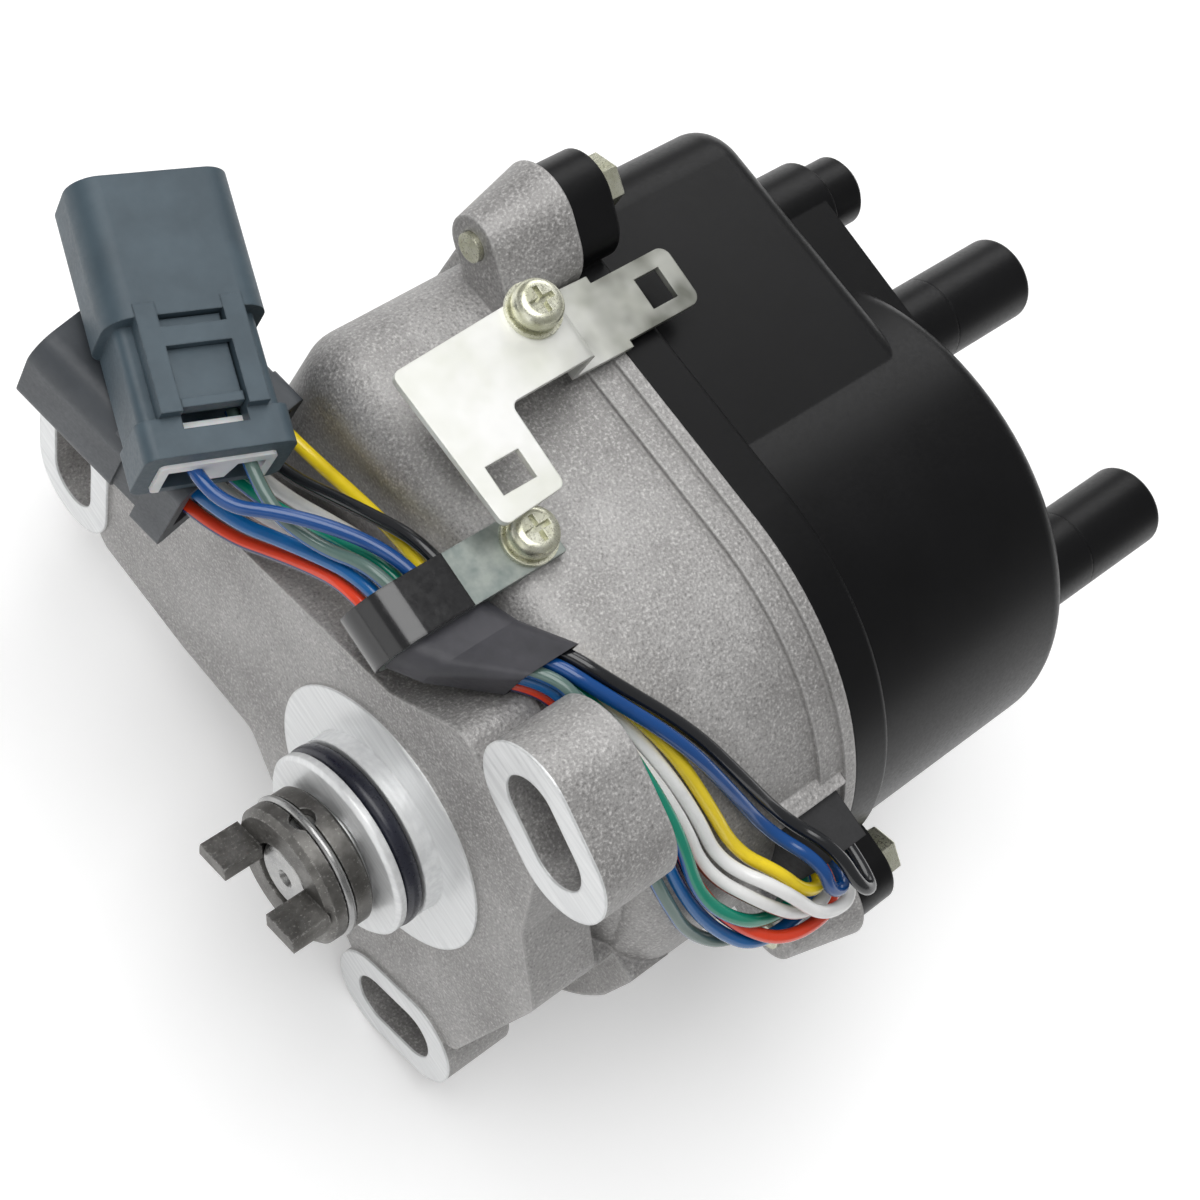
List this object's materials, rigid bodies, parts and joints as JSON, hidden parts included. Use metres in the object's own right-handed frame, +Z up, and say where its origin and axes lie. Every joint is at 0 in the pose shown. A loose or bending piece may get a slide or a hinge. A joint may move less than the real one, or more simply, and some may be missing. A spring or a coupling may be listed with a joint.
{
  "type": "ignition distributor",
  "caption": "Ignition distributor with an integrated coil, a dog-driven shaft, a black cap with lead towers and a coloured wiring harness with connectors.",
  "frame": {"origin": "centre of the pilot spigot, on the plane of the machined mounting face", "axes": "+X along the shaft towards the cap and its towers; +Y towards the coil box; +Z up as the unit lies on its back, towards the harness side"},
  "size_m": [0.1702, 0.1581, 0.1148],
  "materials": {
    "casting": "sand-cast grey with machined pads",
    "cap_plastic": "satin black thermoset",
    "rubber": "matt black rubber",
    "o_ring_rubber": "blue-black rubber",
    "zinc_screws": "yellow zinc plated",
    "bracket_zinc": "bright zinc plated sheet",
    "strap_zinc": "mottled matt zinc",
    "vinyl": "glossy black vinyl",
    "shaft_steel": "ground steel",
    "coupling_steel": "dark sintered steel",
    "bearing_steel": "polished steel",
    "sheet_steel": "plain sheet steel",
    "bronze": "sintered bronze",
    "brass": "plain brass",
    "core_steel": "laminated core, dark",
    "coil_resin": "moulded coil case",
    "module_plastic": "moulded electronics case",
    "pickup_plastic": "moulded pick-up case",
    "cover_plastic": "moulded dust cover",
    "rotor_plastic": "dark red-brown moulding",
    "carbon": "pressed carbon",
    "connector_grey": "blue-grey moulding",
    "connector_dark": "dark grey moulding",
    "natural_plastic": "translucent white moulding",
    "sleeve_plastic": "dark grey shrunk tubing",
    "wire_dark_blue": "dark blue insulation",
    "wire_pale_green": "pale green insulation",
    "wire_yellow": "yellow insulation",
    "wire_black": "black insulation",
    "wire_teal": "blue-green insulation",
    "wire_light_blue": "light blue insulation",
    "wire_red": "orange-red insulation",
    "wire_white": "white insulation"
  },
  "bodies": {
    "base": {"housing": "casting", "cap": "cap_plastic", "cap_towers": "cap_plastic", "cap_seal": "rubber", "cap_screws": "zinc_screws", "cap_washers": "zinc_screws", "mounting_o_ring": "o_ring_rubber", "shaft_bush": "bronze", "oil_seal": "rubber", "bearing_outer_race": "bearing_steel", "bearing_retainer": "sheet_steel", "pickup_plate": "sheet_steel", "pickups": "pickup_plastic", "ignition_module": "module_plastic", "coil_core": "core_steel", "ignition_coil": "coil_resin", "machine_screws": "zinc_screws", "inner_cover": "cover_plastic", "cap_contact_strip": "brass", "coil_contact_rod": "brass", "tower_terminals": "brass", "connector_bracket": "bracket_zinc", "harness_clamp": "strap_zinc", "clamp_cushion": "vinyl", "top_screws": "zinc_screws", "top_washers": "zinc_screws", "connector_a_housing": "connector_grey", "connector_b_housing": "connector_dark", "connector_a_retainer": "natural_plastic", "connector_b_retainer": "connector_dark", "connector_terminals": "brass", "harness_sleeve": "sleeve_plastic", "harness_grommet": "rubber", "wire_dark_blue": "wire_dark_blue", "wire_pale_green": "wire_pale_green", "wire_yellow": "wire_yellow", "wire_black": "wire_black", "wire_teal": "wire_teal", "wire_light_blue": "wire_light_blue", "wire_red": "wire_red", "wire_white_a": "wire_white", "wire_white_b": "wire_white"},
    "shaft": {"drive_shaft": "shaft_steel", "coupling_pin": "shaft_steel", "thrust_washer": "bearing_steel", "bearing_inner_race": "bearing_steel", "crank_reluctor": "coupling_steel", "timing_reluctor": "coupling_steel", "cylinder_reluctor": "coupling_steel", "rotor": "rotor_plastic", "rotor_electrode": "brass", "rotor_screw": "zinc_screws"},
    "coupling": {"drive_coupling": "coupling_steel", "coupling_clip_ring": "shaft_steel"},
    "ball_cage": {"bearing_balls": "bearing_steel", "bearing_cage": "sheet_steel"},
    "brush": {"carbon_brush": "carbon", "brush_spring": "bearing_steel"},
    "latch_a": {"connector_a_latch": "connector_grey"},
    "latch_b": {"connector_b_latch": "connector_dark"}
  },
  "joints": [
    {"name": "shaft_turn", "type": "hinge", "parent": "base", "child": "shaft", "pos_m": [0, 0, 0], "axis": [1, 0, 0], "continuous": true},
    {"name": "coupling_float", "type": "slide", "parent": "shaft", "child": "coupling", "axis": [0, 0.4695, 0.8829], "range_m": [-0.0004, 0.0004]},
    {"name": "ball_cage_turn", "type": "hinge", "parent": "base", "child": "ball_cage", "pos_m": [0.0175, 0, 0], "axis": [1, 0, 0], "continuous": true},
    {"name": "brush_slide", "type": "slide", "parent": "base", "child": "brush", "axis": [1, 0, 0], "range_m": [0, 0.0015], "stiffness_N_per_m": 150, "springref_m": -0.003, "deforming": ["brush_spring"]},
    {"name": "latch_a_press", "type": "hinge", "parent": "base", "child": "latch_a", "pos_m": [0.00161, 0.07331, 0.04165], "axis": [0.9455, -0.3256, 0], "range_deg": [0, 7], "stiffness_Nm_per_rad": 0.3, "springref_deg": -2.86},
    {"name": "latch_b_press", "type": "hinge", "parent": "base", "child": "latch_b", "pos_m": [0.00031, 0.07326, 0.01085], "axis": [-0.9799, -0.1994, 0], "range_deg": [0, 7], "stiffness_Nm_per_rad": 0.3, "springref_deg": -2.86}
  ],
  "couplings": [
    {"joint": "ball_cage_turn", "follows": "shaft_turn", "ratio": 0.381}
  ]
}
